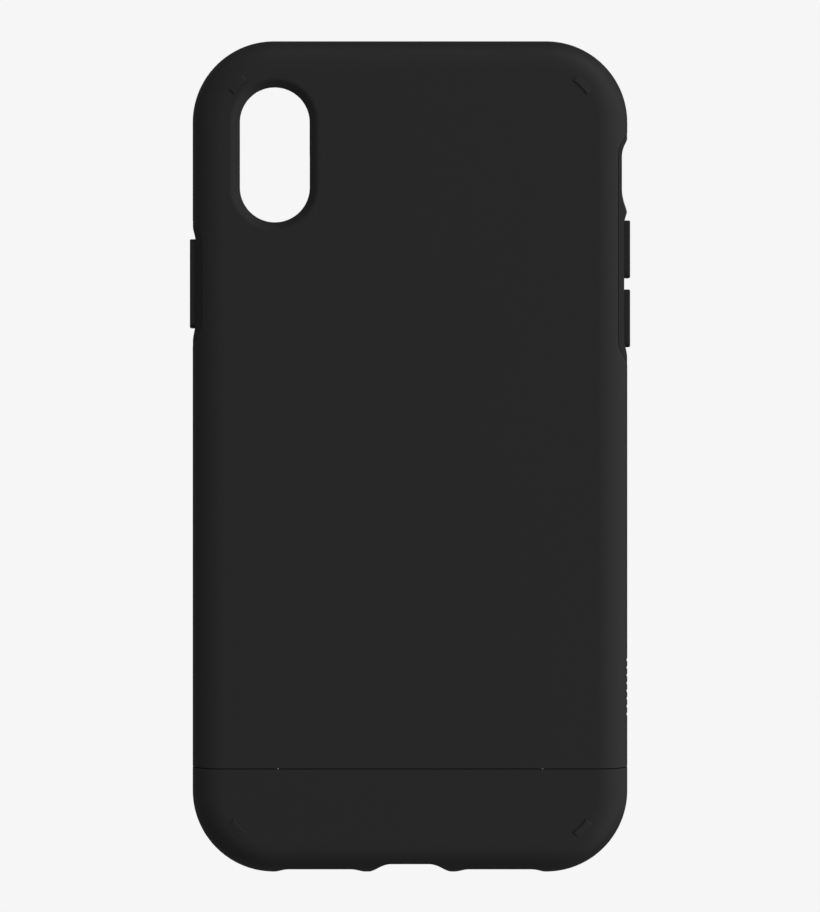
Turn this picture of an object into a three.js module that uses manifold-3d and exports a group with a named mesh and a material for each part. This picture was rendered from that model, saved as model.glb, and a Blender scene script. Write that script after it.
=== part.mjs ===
// A two-piece slip-on protective case for a bar phone: a hard shell over a soft liner, split near
// the bottom so that the lower cap slides off. Millimetres, +Z up along the case's height, +X to
// the right when looking at the closed back, -Y out of the closed back, +Y out of the screen side.
import * as THREE from "three";
import { mergeVertices } from "three/addons/utils/BufferGeometryUtils.js";
import Module from "manifold-3d";

// The phone that the case holds, and the room left round it.
const PHONE = { width: 70.9, height: 143.6, depth: 7.7, corner: 11 };
const PHONE_PLAY = 0.2;

// The case's outer form: a rounded rectangle whose sides are round from back to front.
const CASE = { width: 79.7, height: 152.2, depth: 11.7, corner: 14.9, side: 5.7 };
const PAD_RISE = 0.3; // how far the corner pads stand above the back
const MID_Y = PAD_RISE / 2; // the case's widest plane, so that the whole box is centred on Y
const MID_Z = CASE.height / 2;
const BACK_Y = MID_Y - CASE.depth / 2;
const FRONT_Y = MID_Y + CASE.depth / 2;

// Layers, from outside in.
const SHELL = 1.4; // hard shell thickness
const LAYER_GAP = 0.2; // parting gap between two layers
const FLOOR = 2.3; // back of the case to the pocket's floor
const RIM = 3.3; // width of the hard rim seen from the screen side
const SCREEN_LIP = 1.4; // how far the soft lip reaches over the screen's edge

// The seam between the upper half and the bottom cap.
const SEAM = { z: 19.25, gap: 0.34 };

// Openings.
const CAMERA = { x: -24.6, z: 131, width: 12.7, height: 24.5, chamfer: 1.45, chamferDepth: 1.15 };
const LEFT_WINDOW = { side: -1, low: 96.36, high: 119.2, reach: 4.4 };
const RIGHT_WINDOW = { side: 1, low: 93, high: 135.3, reach: 4.4 };
const MUTE_SLOT = { z: 127.5, height: 6.4, width: 4.6, corner: 1.3 };
const PORT_HOLE = { x: 0, width: 11.2, height: 6 };
const SPEAKER_HOLE = { x: 16.5, width: 11.2, height: 2 };
const PORT_BOSS = { halfWidth: 8, top: 3, inset: 0.4 }; // extra shell above the port scoop
const INLAY_SET = 0.03; // how far the side windows' strips lie below the shell's face

// Cuts in the bottom edge: half widths of the mouth and of the level floor, and the depth.
const PORT_SCOOP = { x: 0, mouth: 7.25, floor: 3.9, depth: 1.79 };
const SPEAKER_SCOOP = { x: 16.5, mouth: 7.9, floor: 6.2, depth: 0.64 };

// Recesses in the side strips round the buttons, and the deeper scoop round the mute switch.
const LEFT_RECESS = { side: -1, depth: 0.63, mouth: [97.6, 117.9], floor: [99.9, 116] };
const RIGHT_RECESS = { side: 1, depth: 0.68, mouth: [94.7, 120.9], floor: [96.95, 119.1] };
const MUTE_SCOOP = { side: 1, depth: 1.15, mouth: [120.8, 134.1], floor: [123.9, 131.4] };

// Buttons: each is a cap through the inlay on a narrower stem through the liner.
const BUTTON = { rise: 0.5, width: 3.8, corner: 1.1, edge: 0.22, capDepth: 1.75, play: 0.15 };
const STEM = { width: 2.2, end: 0.45 };
const BUTTON_TRAVEL = 0.35;
const POWER = { side: -1, z: 107.75, length: 16.3, stem: 8 };
const VOLUME_UP = { side: 1, z: 114.06, length: 10.55, stem: 5 };
const VOLUME_DOWN = { side: 1, z: 101.42, length: 10.55, stem: 5 };

// Corner pads: short arc-sided blocks on the diagonals, measured from the corner's arc centre.
// Each top is level over a narrow strip at the inner edge and falls to just below the back.
const PAD = { inner: 8.35, outer: 9.8, width: 3.65, level: 0.3, sink: 0.06, play: 0.12 };

// Parts that join the cap to the upper half.
const TONGUE = { halfWidth: 24, low: 9, high: 27.5, corner: 3, play: 0.25, sink: 0.05 };
const SLIP = 0.15; // clearance between the tongue and the shell
const ARM = { low: 11.5, high: 28.2, width: 4, thick: 1.3, inset: 0.2, play: 0.25, nose: 0.5 };
const BUMP = { rise: 0.3, low: 24.2, high: 27.6, ramp: 1.2 }; // the arm's click

const ROUND = 6; // segments in each quarter of an outline's arc
const PAD_ROUND = 4; // segments along each arc of a pad
const BEVEL_ROUND = 6; // rings across a rounded side
const FLANK_STEPS = 8; // steps down an S-shaped flank
const OVERCUT = 1; // how far a cutter runs past the face that it opens
const FAR = 60; // reach of a cutter that has to pass right through
const WELD = 1e-4; // vertices closer than this are one vertex

const POCKET = {
  halfWidth: PHONE.width / 2 + PHONE_PLAY,
  halfHeight: PHONE.height / 2 + PHONE_PLAY,
  corner: PHONE.corner + PHONE_PLAY,
  low: BACK_Y + FLOOR,
  high: BACK_Y + FLOOR + PHONE.depth + PHONE_PLAY / 2,
};
const PHONE_Y = (POCKET.low + POCKET.high) / 2;

const wasm = await Module();
wasm.setup();

// ---- solids ----

// A closed three.js geometry as a manifold solid.
function solid(geometry) {
  const bare = geometry.clone();
  bare.deleteAttribute("normal");
  bare.deleteAttribute("uv");
  const merged = mergeVertices(bare, WELD);
  return new wasm.Manifold(
    new wasm.Mesh({
      numProp: 3,
      vertProperties: merged.attributes.position.array,
      triVerts: new Uint32Array(merged.index.array),
    }),
  );
}

// A manifold solid as a named mesh.
function mesh(name, made, material) {
  const { vertProperties, triVerts } = made.getMesh();
  const geometry = new THREE.BufferGeometry();
  geometry.setAttribute("position", new THREE.BufferAttribute(vertProperties, 3));
  geometry.setIndex(new THREE.BufferAttribute(triVerts, 1));
  geometry.computeVertexNormals();
  const result = new THREE.Mesh(geometry, material);
  result.name = name;
  return result;
}

const X = new THREE.Vector3(1, 0, 0);
const Y = new THREE.Vector3(0, 1, 0);
const Z = new THREE.Vector3(0, 0, 1);
// Where a shape's own x, its own y and the extrusion point, for a prism along each axis.
const BASES = { x: [Y, Z, X], y: [X, Z, Y.clone().negate()], z: [X, Y, Z] };

// A shape extruded along an axis between two coordinates.
function prism(shape, axis, low, high, options = {}) {
  const settings = { depth: high - low, bevelEnabled: false, curveSegments: ROUND, ...options };
  const geometry = new THREE.ExtrudeGeometry(shape, settings);
  geometry.applyMatrix4(new THREE.Matrix4().makeBasis(...BASES[axis]));
  const start = axis === "y" ? high : low;
  geometry.translate(...{ x: [start, 0, 0], y: [0, start, 0], z: [0, 0, start] }[axis]);
  return solid(geometry);
}

// A box between two corners.
function block(x0, y0, z0, x1, y1, z1) {
  const geometry = new THREE.BoxGeometry(x1 - x0, y1 - y0, z1 - z0);
  geometry.translate((x0 + x1) / 2, (y0 + y1) / 2, (z0 + z1) / 2);
  return solid(geometry);
}

function all(solids) {
  return solids.reduce((sum, part) => sum.add(part));
}

// ---- outlines ----

// A rectangle with round corners about a centre.
function roundedRectangle(halfWidth, halfHeight, corner, cx = 0, cy = 0) {
  const r = Math.min(corner, halfWidth, halfHeight);
  const w = halfWidth - r;
  const h = halfHeight - r;
  const shape = new THREE.Shape();
  shape.absarc(cx + w, cy - h, r, -Math.PI / 2, 0);
  shape.absarc(cx + w, cy + h, r, 0, Math.PI / 2);
  shape.absarc(cx - w, cy + h, r, Math.PI / 2, Math.PI);
  shape.absarc(cx - w, cy - h, r, Math.PI, Math.PI * 1.5);
  shape.closePath();
  return shape;
}

// The case's outline seen from the back, drawn in by an inset.
function caseOutline(inset) {
  const halfWidth = CASE.width / 2 - inset;
  const halfHeight = CASE.height / 2 - inset;
  return roundedRectangle(halfWidth, halfHeight, CASE.corner - inset, 0, MID_Z);
}

function polygon(points) {
  return new THREE.Shape(points.map(([x, y]) => new THREE.Vector2(x, y)));
}

// ---- the case's own forms ----

// The round-sided body, drawn in all over by an inset.
function body(inset) {
  const side = CASE.side - inset;
  const flat = CASE.depth - 2 * CASE.side;
  return prism(caseOutline(inset), "y", MID_Y - flat / 2, MID_Y + flat / 2, {
    bevelEnabled: true,
    bevelThickness: side,
    bevelSize: side,
    bevelOffset: -side,
    bevelSegments: BEVEL_ROUND,
  });
}

// The straight column inside the hard rim, from the widest plane forwards.
function screenColumn(inset) {
  return prism(caseOutline(inset), "y", MID_Y, FAR);
}

// The room that the phone takes, with the screen opening in front of it.
function pocket() {
  const { halfWidth, halfHeight, corner, low, high } = POCKET;
  const cavity = prism(roundedRectangle(halfWidth, halfHeight, corner, 0, MID_Z), "y", low, high);
  const opening = roundedRectangle(
    halfWidth - SCREEN_LIP,
    halfHeight - SCREEN_LIP,
    corner - SCREEN_LIP,
    0,
    MID_Z,
  );
  return cavity.add(prism(opening, "y", MID_Y, FAR));
}

// The camera opening, flared towards the back.
function cameraCutter(grow, chamfer) {
  const halfWidth = CAMERA.width / 2 + grow;
  const halfHeight = CAMERA.height / 2 + grow;
  const outline = roundedRectangle(halfWidth, halfHeight, halfWidth, CAMERA.x, CAMERA.z);
  const hole = prism(outline, "y", -FAR, MID_Y);
  if (!chamfer) return hole;
  const flare = prism(outline, "y", -FAR, BACK_Y, {
    bevelEnabled: true,
    bevelThickness: CAMERA.chamferDepth,
    bevelSize: CAMERA.chamfer,
    bevelSegments: 1,
  });
  return hole.add(flare);
}

// A side window's stadium prism, shrunk by a clearance.
function windowPrism(window, shrink) {
  const half = (window.high - window.low) / 2 - shrink;
  const reach = window.reach - shrink;
  const z = (window.high + window.low) / 2;
  const outline = roundedRectangle(reach, half, reach, MID_Y, z);
  return window.side > 0
    ? prism(outline, "x", CASE.width / 4, FAR)
    : prism(outline, "x", -FAR, -CASE.width / 4);
}

// A cut into one side of the case: [depth, z] points of its floor, run right across the side.
function sideCut(side, floor) {
  const face = (side * CASE.width) / 2;
  const points = floor.map(([depth, z]) => [face - side * depth, z]);
  const outside = side * FAR;
  const ring = [[outside, floor[0][1]], ...points, [outside, floor[floor.length - 1][1]]];
  return prism(polygon(side > 0 ? ring : ring.reverse()), "y", -FAR, FAR);
}

// Points of an S-shaped flank from one [depth, position] to another.
function flank([depth0, at0], [depth1, at1]) {
  return Array.from({ length: FLANK_STEPS + 1 }, (_, i) => {
    const t = i / FLANK_STEPS;
    const eased = (1 - Math.cos(Math.PI * t)) / 2;
    return [depth0 + (depth1 - depth0) * eased, at0 + (at1 - at0) * t];
  });
}

// A recess with straight flanks, as wide as its mouth.
function recess({ side, depth, mouth, floor }) {
  return sideCut(side, [[0, mouth[0]], [depth, floor[0]], [depth, floor[1]], [0, mouth[1]]]);
}

// A recess with S-shaped flanks.
function scoop({ side, depth, mouth, floor }) {
  const rise = flank([0, mouth[0]], [depth, floor[0]]);
  return sideCut(side, [...rise, ...flank([depth, floor[1]], [0, mouth[1]])]);
}

// A scoop with S-shaped flanks in the bottom edge, at x or at its mirror image.
function bottomScoop({ x, mouth, floor, depth }, side = 1) {
  const centre = side * x;
  const points = [
    ...flank([0, -mouth], [depth, -floor]),
    ...flank([depth, floor], [0, mouth]),
  ].map(([height, along]) => [centre + along, height]);
  const ring = [[centre - mouth, -FAR], ...points, [centre + mouth, -FAR]];
  return prism(polygon(ring.reverse()), "y", -FAR, FAR);
}

// ---- buttons ----

const FACE_X = CASE.width / 2;
const CAP_X = FACE_X + BUTTON.rise;

// A prism standing on a side wall: a rounded rectangle in Y and Z, between two distances from the
// case's middle plane.
function sidePrism({ side, z }, width, length, corner, near, far, options) {
  const outline = roundedRectangle(width / 2, length / 2, corner, MID_Y, z);
  return side > 0
    ? prism(outline, "x", near, far, options)
    : prism(outline, "x", -far, -near, options);
}

// A button: its cap, rounded at the face, and the stem that reaches the phone's own button.
function button(spec) {
  const { width, corner, edge, capDepth } = BUTTON;
  const stemX = POCKET.halfWidth + STEM.end;
  const cap = sidePrism(spec, width, spec.length, corner, CAP_X - capDepth + edge, CAP_X - edge, {
    bevelEnabled: true,
    bevelThickness: edge,
    bevelSize: edge,
    bevelOffset: -edge,
    bevelSegments: 2,
  });
  const stem = sidePrism(spec, STEM.width, spec.stem, STEM.width / 2, stemX, CAP_X - capDepth + edge);
  return cap.add(stem);
}

// The room a button needs in its inlay and liner over its whole travel.
function buttonRoom(spec) {
  const { width, corner, capDepth, play } = BUTTON;
  const capBack = CAP_X - capDepth - BUTTON_TRAVEL - play;
  const cap = sidePrism(spec, width + 2 * play, spec.length + 2 * play, corner + play, capBack, FAR);
  const stem = sidePrism(
    spec,
    STEM.width + 2 * play,
    spec.stem + 2 * play,
    STEM.width / 2 + play,
    CASE.width / 4,
    CAP_X,
  );
  return cap.add(stem);
}

// ---- corner pads ----

// A pad at a corner; grow widens it into its socket's cutter.
function pad(sideX, sideZ, grow) {
  const inner = PAD.inner - grow;
  const outer = PAD.outer + grow;
  const half = PAD.width / 2 + grow;
  const shape = new THREE.Shape();
  shape.absarc(0, 0, outer, -Math.asin(half / outer), Math.asin(half / outer));
  shape.absarc(0, 0, inner, Math.asin(half / inner), -Math.asin(half / inner), true);
  shape.closePath();
  const foot = BACK_Y + SHELL + (grow ? LAYER_GAP : 0);
  let made = prism(shape, "y", BACK_Y - PAD_RISE, foot, { curveSegments: PAD_ROUND });
  if (!grow) {
    const top = polygon([
      [PAD.inner - OVERCUT, BACK_Y - PAD_RISE],
      [PAD.inner + PAD.level, BACK_Y - PAD_RISE],
      [PAD.outer, BACK_Y + PAD.sink],
      [PAD.outer + OVERCUT, BACK_Y + PAD.sink],
      [PAD.outer + OVERCUT, MID_Y],
      [PAD.inner - OVERCUT, MID_Y],
    ]);
    made = made.intersect(prism(top, "z", -PAD.width, PAD.width));
  }
  const turn = (Math.atan2(sideZ, sideX) * 180) / Math.PI;
  const x = sideX * (CASE.width / 2 - CASE.corner);
  const z = MID_Z + sideZ * (CASE.height / 2 - CASE.corner);
  return made.rotate([0, -turn, 0]).translate([x, 0, z]);
}

const CORNERS = {
  upper_left_pad: [-1, 1],
  upper_right_pad: [1, 1],
  lower_left_pad: [-1, -1],
  lower_right_pad: [1, -1],
};

// ---- joining parts ----

// The thin plate that runs from the cap up inside the upper half's back.
function tongue(grow) {
  const { halfWidth, low, high, corner, sink } = TONGUE;
  const halfHeight = (high - low) / 2;
  const middle = (high + low) / 2;
  const outline = roundedRectangle(halfWidth + grow, halfHeight + grow, corner + grow, 0, middle);
  const near = BACK_Y + SHELL + (grow ? 0 : SLIP);
  return prism(outline, "y", near, POCKET.low + (grow ? OVERCUT : -sink));
}

// A latch arm on one side wall, with the bump that clicks into the upper half.
function latchArm(side) {
  const { low, high, width, thick, inset, nose } = ARM;
  const x0 = POCKET.halfWidth + inset;
  const x1 = x0 + thick;
  const profile = [
    [x0, low],
    [x1, low],
    [x1, BUMP.low],
    [x1 + BUMP.rise, BUMP.low + BUMP.ramp],
    [x1 + BUMP.rise, BUMP.high - BUMP.ramp],
    [x1, BUMP.high],
    [x1 - nose, high],
    [x0, high],
  ].map(([x, z]) => [side * x, z]);
  const outline = polygon(side > 0 ? profile : profile.reverse());
  return prism(outline, "y", PHONE_Y - width / 2, PHONE_Y + width / 2);
}

// The groove that an arm lies in, open to the pocket: wide enough above the seam for the bump to
// slide out, with the detent where the bump rests.
function armGroove(side) {
  const { low, high, width, thick, inset, play } = ARM;
  const { rise, ramp } = BUMP;
  const near = POCKET.halfWidth - OVERCUT;
  const far = POCKET.halfWidth + inset + thick + play;
  const half = width / 2 + play;
  const stretches = [
    [far, low - play, high + play],
    [far + rise, SEAM.z, high + play],
    [far + 2 * rise, BUMP.low + ramp - play, BUMP.high - ramp + play],
  ];
  return all(
    stretches.map(([reach, z0, z1]) => {
      const [x0, x1] = side > 0 ? [near, reach] : [-reach, -near];
      return block(x0, PHONE_Y - half, z0, x1, PHONE_Y + half, z1);
    }),
  );
}

// ---- layers ----

const buttonRooms = [POWER, VOLUME_UP, VOLUME_DOWN].map(buttonRoom);

function muteHole(grow) {
  const { width, height, corner } = MUTE_SLOT;
  const spec = { side: 1, z: MUTE_SLOT.z };
  const [w, h] = [width + 2 * grow, height + 2 * grow];
  return sidePrism(spec, w, h, corner + grow, CASE.width / 4, FAR);
}

function bottomHoles(grow) {
  const hole = ({ width, height }, x) => {
    const half = height / 2 + grow;
    const outline = roundedRectangle(width / 2 + grow, half, half, x, PHONE_Y);
    return prism(outline, "z", -FAR, MID_Z / 2);
  };
  return all([
    hole(PORT_HOLE, PORT_HOLE.x),
    hole(SPEAKER_HOLE, SPEAKER_HOLE.x),
    hole(SPEAKER_HOLE, -SPEAKER_HOLE.x),
  ]);
}

// The block of shell that backs the port scoop.
function portBoss(grow) {
  const half = PORT_BOSS.halfWidth + grow;
  const inset = grow ? 0 : PORT_BOSS.inset;
  return block(-half, -FAR, -FAR, half, FAR, PORT_BOSS.top + grow).intersect(body(inset));
}

// What lies inside the hard layer: the soft layer's own form and the column inside the rim.
const hollow = body(SHELL).add(screenColumn(RIM));

// The hard layer of the whole case, before the seam divides it.
function hardLayer() {
  const boss = portBoss(0).subtract(screenColumn(RIM));
  const cuts = [
    cameraCutter(0, true),
    windowPrism(LEFT_WINDOW, 0),
    windowPrism(RIGHT_WINDOW, 0),
    ...Object.values(CORNERS).map(([sideX, sideZ]) => pad(sideX, sideZ, PAD.play)),
    bottomHoles(0),
    bottomScoop(PORT_SCOOP),
    bottomScoop(SPEAKER_SCOOP),
    bottomScoop(SPEAKER_SCOOP, -1),
  ];
  return body(0).subtract(hollow).add(boss).subtract(all(cuts));
}

// The soft layer of the whole case, before the seam divides it.
function softLayer() {
  const lip = body(0).intersect(screenColumn(RIM + LAYER_GAP));
  const cuts = [
    pocket(),
    cameraCutter(LAYER_GAP, false),
    ...buttonRooms,
    muteHole(LAYER_GAP),
    bottomHoles(LAYER_GAP),
    tongue(TONGUE.play),
    armGroove(-1),
    armGroove(1),
    portBoss(LAYER_GAP).subtract(screenColumn(RIM)),
  ];
  return body(SHELL + LAYER_GAP).add(lip).subtract(all(cuts));
}

// The soft strip that fills a side window.
function inlay(window, cuts) {
  const strip = body(INLAY_SET).subtract(hollow).intersect(windowPrism(window, LAYER_GAP));
  return strip.subtract(all(cuts));
}

function above(made) {
  return made.intersect(block(-FAR, -FAR, SEAM.z + SEAM.gap / 2, FAR, FAR, 3 * FAR));
}

function below(made) {
  return made.intersect(block(-FAR, -FAR, -FAR, FAR, FAR, SEAM.z - SEAM.gap / 2));
}

// ---- materials and assembly ----

function finish(color, roughness) {
  return new THREE.MeshStandardMaterial({ color, roughness, metalness: 0 });
}

const MATERIALS = {
  shell: () => finish(0x29292b, 0.55),
  liner: () => finish(0x232325, 0.8),
  button: () => finish(0x272729, 0.7),
  latch: () => finish(0x303033, 0.5),
};

const hard = hardLayer();
const soft = softLayer();
const [powerRoom, volumeUpRoom, volumeDownRoom] = buttonRooms;
const leftCuts = [recess(LEFT_RECESS), powerRoom];
const rightCuts = [
  recess(RIGHT_RECESS),
  scoop(MUTE_SCOOP),
  volumeUpRoom,
  volumeDownRoom,
  muteHole(0),
];

const upperCase = new THREE.Group();
upperCase.add(
  mesh("upper_shell", above(hard), MATERIALS.shell()),
  mesh("upper_liner", above(soft), MATERIALS.liner()),
  mesh("left_side_inlay", inlay(LEFT_WINDOW, leftCuts), MATERIALS.liner()),
  mesh("right_side_inlay", inlay(RIGHT_WINDOW, rightCuts), MATERIALS.liner()),
);

const bottomCap = new THREE.Group();
bottomCap.add(
  mesh("bottom_shell", below(hard), MATERIALS.shell()),
  mesh("bottom_liner", below(soft), MATERIALS.liner()),
  mesh("back_tongue", tongue(0), MATERIALS.latch()),
  mesh("left_latch_arm", latchArm(-1), MATERIALS.latch()),
  mesh("right_latch_arm", latchArm(1), MATERIALS.latch()),
);

for (const [name, [sideX, sideZ]] of Object.entries(CORNERS)) {
  const half = sideZ > 0 ? upperCase : bottomCap;
  half.add(mesh(name, pad(sideX, sideZ, 0), MATERIALS.liner()));
}

upperCase.add(
  mesh("power_button", button(POWER), MATERIALS.button()),
  mesh("volume_up_button", button(VOLUME_UP), MATERIALS.button()),
  mesh("volume_down_button", button(VOLUME_DOWN), MATERIALS.button()),
);

const phoneCase = new THREE.Group();
phoneCase.add(bottomCap, upperCase);

export default phoneCase;
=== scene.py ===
import math

import bpy
import numpy as np
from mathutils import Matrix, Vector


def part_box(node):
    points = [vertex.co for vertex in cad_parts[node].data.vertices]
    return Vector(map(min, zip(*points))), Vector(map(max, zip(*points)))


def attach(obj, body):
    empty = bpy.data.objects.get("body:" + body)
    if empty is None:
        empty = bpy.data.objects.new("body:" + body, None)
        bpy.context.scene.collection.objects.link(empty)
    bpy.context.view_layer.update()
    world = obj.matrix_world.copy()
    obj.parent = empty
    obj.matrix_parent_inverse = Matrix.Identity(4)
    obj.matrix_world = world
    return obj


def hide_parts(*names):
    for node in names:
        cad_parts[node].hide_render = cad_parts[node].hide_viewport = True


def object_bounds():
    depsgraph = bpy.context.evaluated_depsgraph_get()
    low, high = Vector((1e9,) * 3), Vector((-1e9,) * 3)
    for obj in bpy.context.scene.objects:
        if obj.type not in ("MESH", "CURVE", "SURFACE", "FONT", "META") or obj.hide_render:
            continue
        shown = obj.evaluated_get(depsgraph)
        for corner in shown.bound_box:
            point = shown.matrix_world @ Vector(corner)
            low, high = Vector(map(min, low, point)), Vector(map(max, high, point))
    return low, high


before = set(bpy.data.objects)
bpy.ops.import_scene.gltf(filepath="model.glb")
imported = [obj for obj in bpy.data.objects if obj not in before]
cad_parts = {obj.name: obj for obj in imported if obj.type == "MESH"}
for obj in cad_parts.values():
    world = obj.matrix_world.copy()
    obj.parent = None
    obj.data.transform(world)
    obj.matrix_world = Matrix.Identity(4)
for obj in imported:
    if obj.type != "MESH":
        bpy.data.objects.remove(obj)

cad_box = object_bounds()

# ---- driving dimensions, in millimetres, read from the frame where it holds them ----

MM = 0.001


def box_mm(node):
    """The lowest and highest corners of a CAD node, in millimetres."""
    low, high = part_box(node)
    return np.array(low) / MM, np.array(high) / MM


upper_low, upper_high = box_mm("upper_shell")
HALF_WIDTH = upper_high[0]
TOP = upper_high[2]
MID_Z = TOP / 2
BACK = upper_low[1]
FRONT = box_mm("upper_liner")[1][1]
MID_Y = (BACK + FRONT) / 2
SEAM_LIFT = 0.06  # how far the visible line lies above the middle of the solids' gap
SEAM_Z = (upper_low[2] + box_mm("bottom_shell")[1][2]) / 2 + SEAM_LIFT
SEAM_GAP = 0.1  # the visible gap between the halves

SIDE = 5.7  # radius that rounds the sides from back to front
CORNER = 14.9  # corner radius seen from the back
SHELL = 1.4  # hard shell thickness
LAYER_GAP = 0.2  # between the hard shell and the soft liner
RIM = 3.3  # width of the hard rim on the screen side
POCKET_HALF = (35.65, 72.0)
POCKET_CORNER = 11.2
POCKET_FLOOR = BACK + 2.3
POCKET_ROOF = POCKET_FLOOR + 7.8
PHONE_Y = (POCKET_FLOOR + POCKET_ROOF) / 2
SCREEN_LIP = 1.4  # how far the lip reaches in over the screen's edge

CAMERA = {"x": -24.63, "z": 131.0, "half": (6.35, 12.27), "chamfer": 1.45, "depth": 1.15,
          "ease": 0.2, "overcut": 0.02}
WINDOWS = {"left": (-1, 96.36, 119.2, 4.4), "right": (1, 93.0, 135.3, 4.4)}  # side, low, high, reach
MUTE = {"z": 127.5, "half": (2.3, 3.2), "corner": 1.3}
PORTS = [(0.0, 5.6, 3.0), (16.5, 5.6, 1.0), (-16.5, 5.6, 1.0)]  # x, half width, half height
BUTTONS = {
    "power_button": {"side": -1, "z": 107.75, "half": (1.9, 8.15), "stem": (1.1, 4.0)},
    "volume_up_button": {"side": 1, "z": 114.06, "half": (1.9, 5.275), "stem": (1.1, 2.5)},
    "volume_down_button": {"side": 1, "z": 101.42, "half": (1.9, 5.275), "stem": (1.1, 2.5)},
}
BUTTON_CORNER = 1.1
BUTTON_PLAY = 0.15
CAP_DEPTH = 1.75
STEM_END = 0.45  # from the pocket's wall to the end of a button's stem
TONGUE = {"half": (24.0, 9.25), "z": 18.25, "corner": 3.0, "play": 0.25}
ARM = {"low": 11.5, "high": 28.2, "half": 2.0, "near": 0.2, "thick": 1.3, "play": 0.25}
BUMP = {"rise": 0.3, "low": 24.2, "high": 27.6, "ramp": 1.2, "ease": 0.3}  # on each arm

# ---- small tools on whole arrays ----


def smooth_max(a, b, k):
    """The larger of a and b, blended where they are within k: max + k/4 * (1 - |a - b| / k)^2."""
    h = np.clip(1 - np.abs(a - b) / k, 0, 1)
    return np.maximum(a, b) + h * h * k / 4


def smooth_min(a, b, k):
    """The smaller of a and b, blended where they are within k."""
    return -smooth_max(-a, -b, k)


def smooth_step(x):
    """0 below 0, 1 above 1, and 3x^2 - 2x^3 between."""
    x = np.clip(x, 0, 1)
    return x * x * (3 - 2 * x)


def round_box(u, v, half_u, half_v, corner):
    """Distance inside (+) or outside (-) a rectangle with round corners, centred on the origin."""
    du = np.abs(u) - (half_u - corner)
    dv = np.abs(v) - (half_v - corner)
    outside = np.hypot(np.maximum(du, 0), np.maximum(dv, 0))
    return corner - outside - np.minimum(np.maximum(du, dv), 0)


def graded(*stops):
    """Grid lines from stop to stop: each stop is (position, largest step on the way to the next)."""
    lines = [np.array([stops[0][0]])]
    for (a, step), (b, _) in zip(stops, stops[1:]):
        count = max(1, math.ceil((b - a) / step - 1e-6))
        lines.append(a + (b - a) * np.arange(1, count + 1) / count)
    return np.concatenate(lines)


def mirrored(middle, edge, rounds):
    """Grid lines across the case: the middle lines, then the lines of the rounding on both sides."""
    return np.concatenate([-edge - rounds[:0:-1], middle, edge + rounds[1:]])


# ---- sections carried round an outline ----


def arc(cx, cy, radius, start, end, steps=48):
    """Points of an arc between two angles in degrees, in the (outwards, depth) plane."""
    a = np.radians(np.linspace(start, end, steps + 1))
    return np.stack([cx + radius * np.cos(a), cy + radius * np.sin(a)], 1)


def trace(*points):
    """A section as a table: the distance along it, its points, and its unit normals.
    The normal is the tangent (te, ty) turned to (ty, -te)."""
    points = np.concatenate([np.atleast_2d(p) for p in points])
    steps = np.hypot(*np.diff(points, axis=0).T)
    points = points[np.concatenate([[True], steps > 1e-7])]
    along = np.concatenate([[0], np.cumsum(np.hypot(*np.diff(points, axis=0).T))])
    tangent = np.gradient(points, along, axis=0)
    tangent /= np.hypot(*tangent.T)[:, None]
    normal = np.stack([tangent[:, 1], -tangent[:, 0]], 1)
    return {"along": along, "points": points, "normal": normal}


def unroll(q, outline):
    """The unrolled plane: each point q = (x, z) is split into the nearest point of a rounded
    rectangle about (0, MID_Z), the unit way out of it there, and the distance out (negative inside)."""
    half_x, half_z, corner = outline
    x, z = q[..., 0], q[..., 1] - MID_Z
    sx, sz = np.where(x < 0, -1.0, 1.0), np.where(z < 0, -1.0, 1.0)
    dx = np.abs(x) - (half_x - corner)
    dz = np.abs(z) - (half_z - corner)
    reach = np.hypot(dx, dz)
    at_corner = (dx > 0) & (dz > 0)
    at_side = ~at_corner & (np.abs(x) - half_x > np.abs(z) - half_z)
    safe = np.where(reach > 0, reach, 1)
    out_x = np.where(at_corner, sx * dx / safe, np.where(at_side, sx, 0.0))
    out_z = np.where(at_corner, sz * dz / safe, np.where(at_side, 0.0, sz))
    arc_x = sx * (half_x - corner) + out_x * corner
    arc_z = sz * (half_z - corner) + out_z * corner
    base_x = np.where(at_corner, arc_x, np.where(at_side, sx * half_x, x))
    base_z = np.where(at_corner, arc_z, np.where(at_side, z, sz * half_z))
    flat_out = np.where(at_side, np.abs(x) - half_x, np.abs(z) - half_z)
    out = np.where(at_corner, reach - corner, flat_out)
    return np.stack([base_x, base_z + MID_Z], -1), np.stack([out_x, out_z], -1), out


def carry(q, outline, section):
    """Surface points, normals, ways out and distances: the section (outwards e, depth y) carried
    round the outline. A point is base + out * e(t) across and y(t) in depth, flat inside it."""
    base, out, t = unroll(q, outline)
    e = np.where(t < 0, t, np.interp(t, section["along"], section["points"][:, 0]))
    y = np.interp(t, section["along"], section["points"][:, 1])
    n_e = np.interp(t, section["along"], section["normal"][:, 0])
    n_y = np.interp(t, section["along"], section["normal"][:, 1])
    points = np.stack([base[..., 0] + out[..., 0] * e, y, base[..., 1] + out[..., 1] * e], -1)
    normals = np.stack([out[..., 0] * n_e, n_y, out[..., 1] * n_e], -1)
    normals /= np.hypot(n_e, n_y)[..., None]
    return points, normals, out, t


# ---- a closed wall from a region of a plane and two skins ----


def growth(phi, q, step=0.01):
    """How phi grows along each axis of the plane, by central differences."""
    along_x = phi(q + [step, 0]) - phi(q - [step, 0])
    along_z = phi(q + [0, step]) - phi(q - [0, step])
    return np.stack([along_x, along_z], -1) / (2 * step)


def uphill(phi, q):
    """The unit direction in which phi grows fastest."""
    g = growth(phi, q)
    return g / np.maximum(np.hypot(g[..., 0], g[..., 1]), 1e-9)[..., None]


JUMP = 10  # where phi grows faster than this, it jumps and has no slope
LEAST_SLOPE = 0.2


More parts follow.
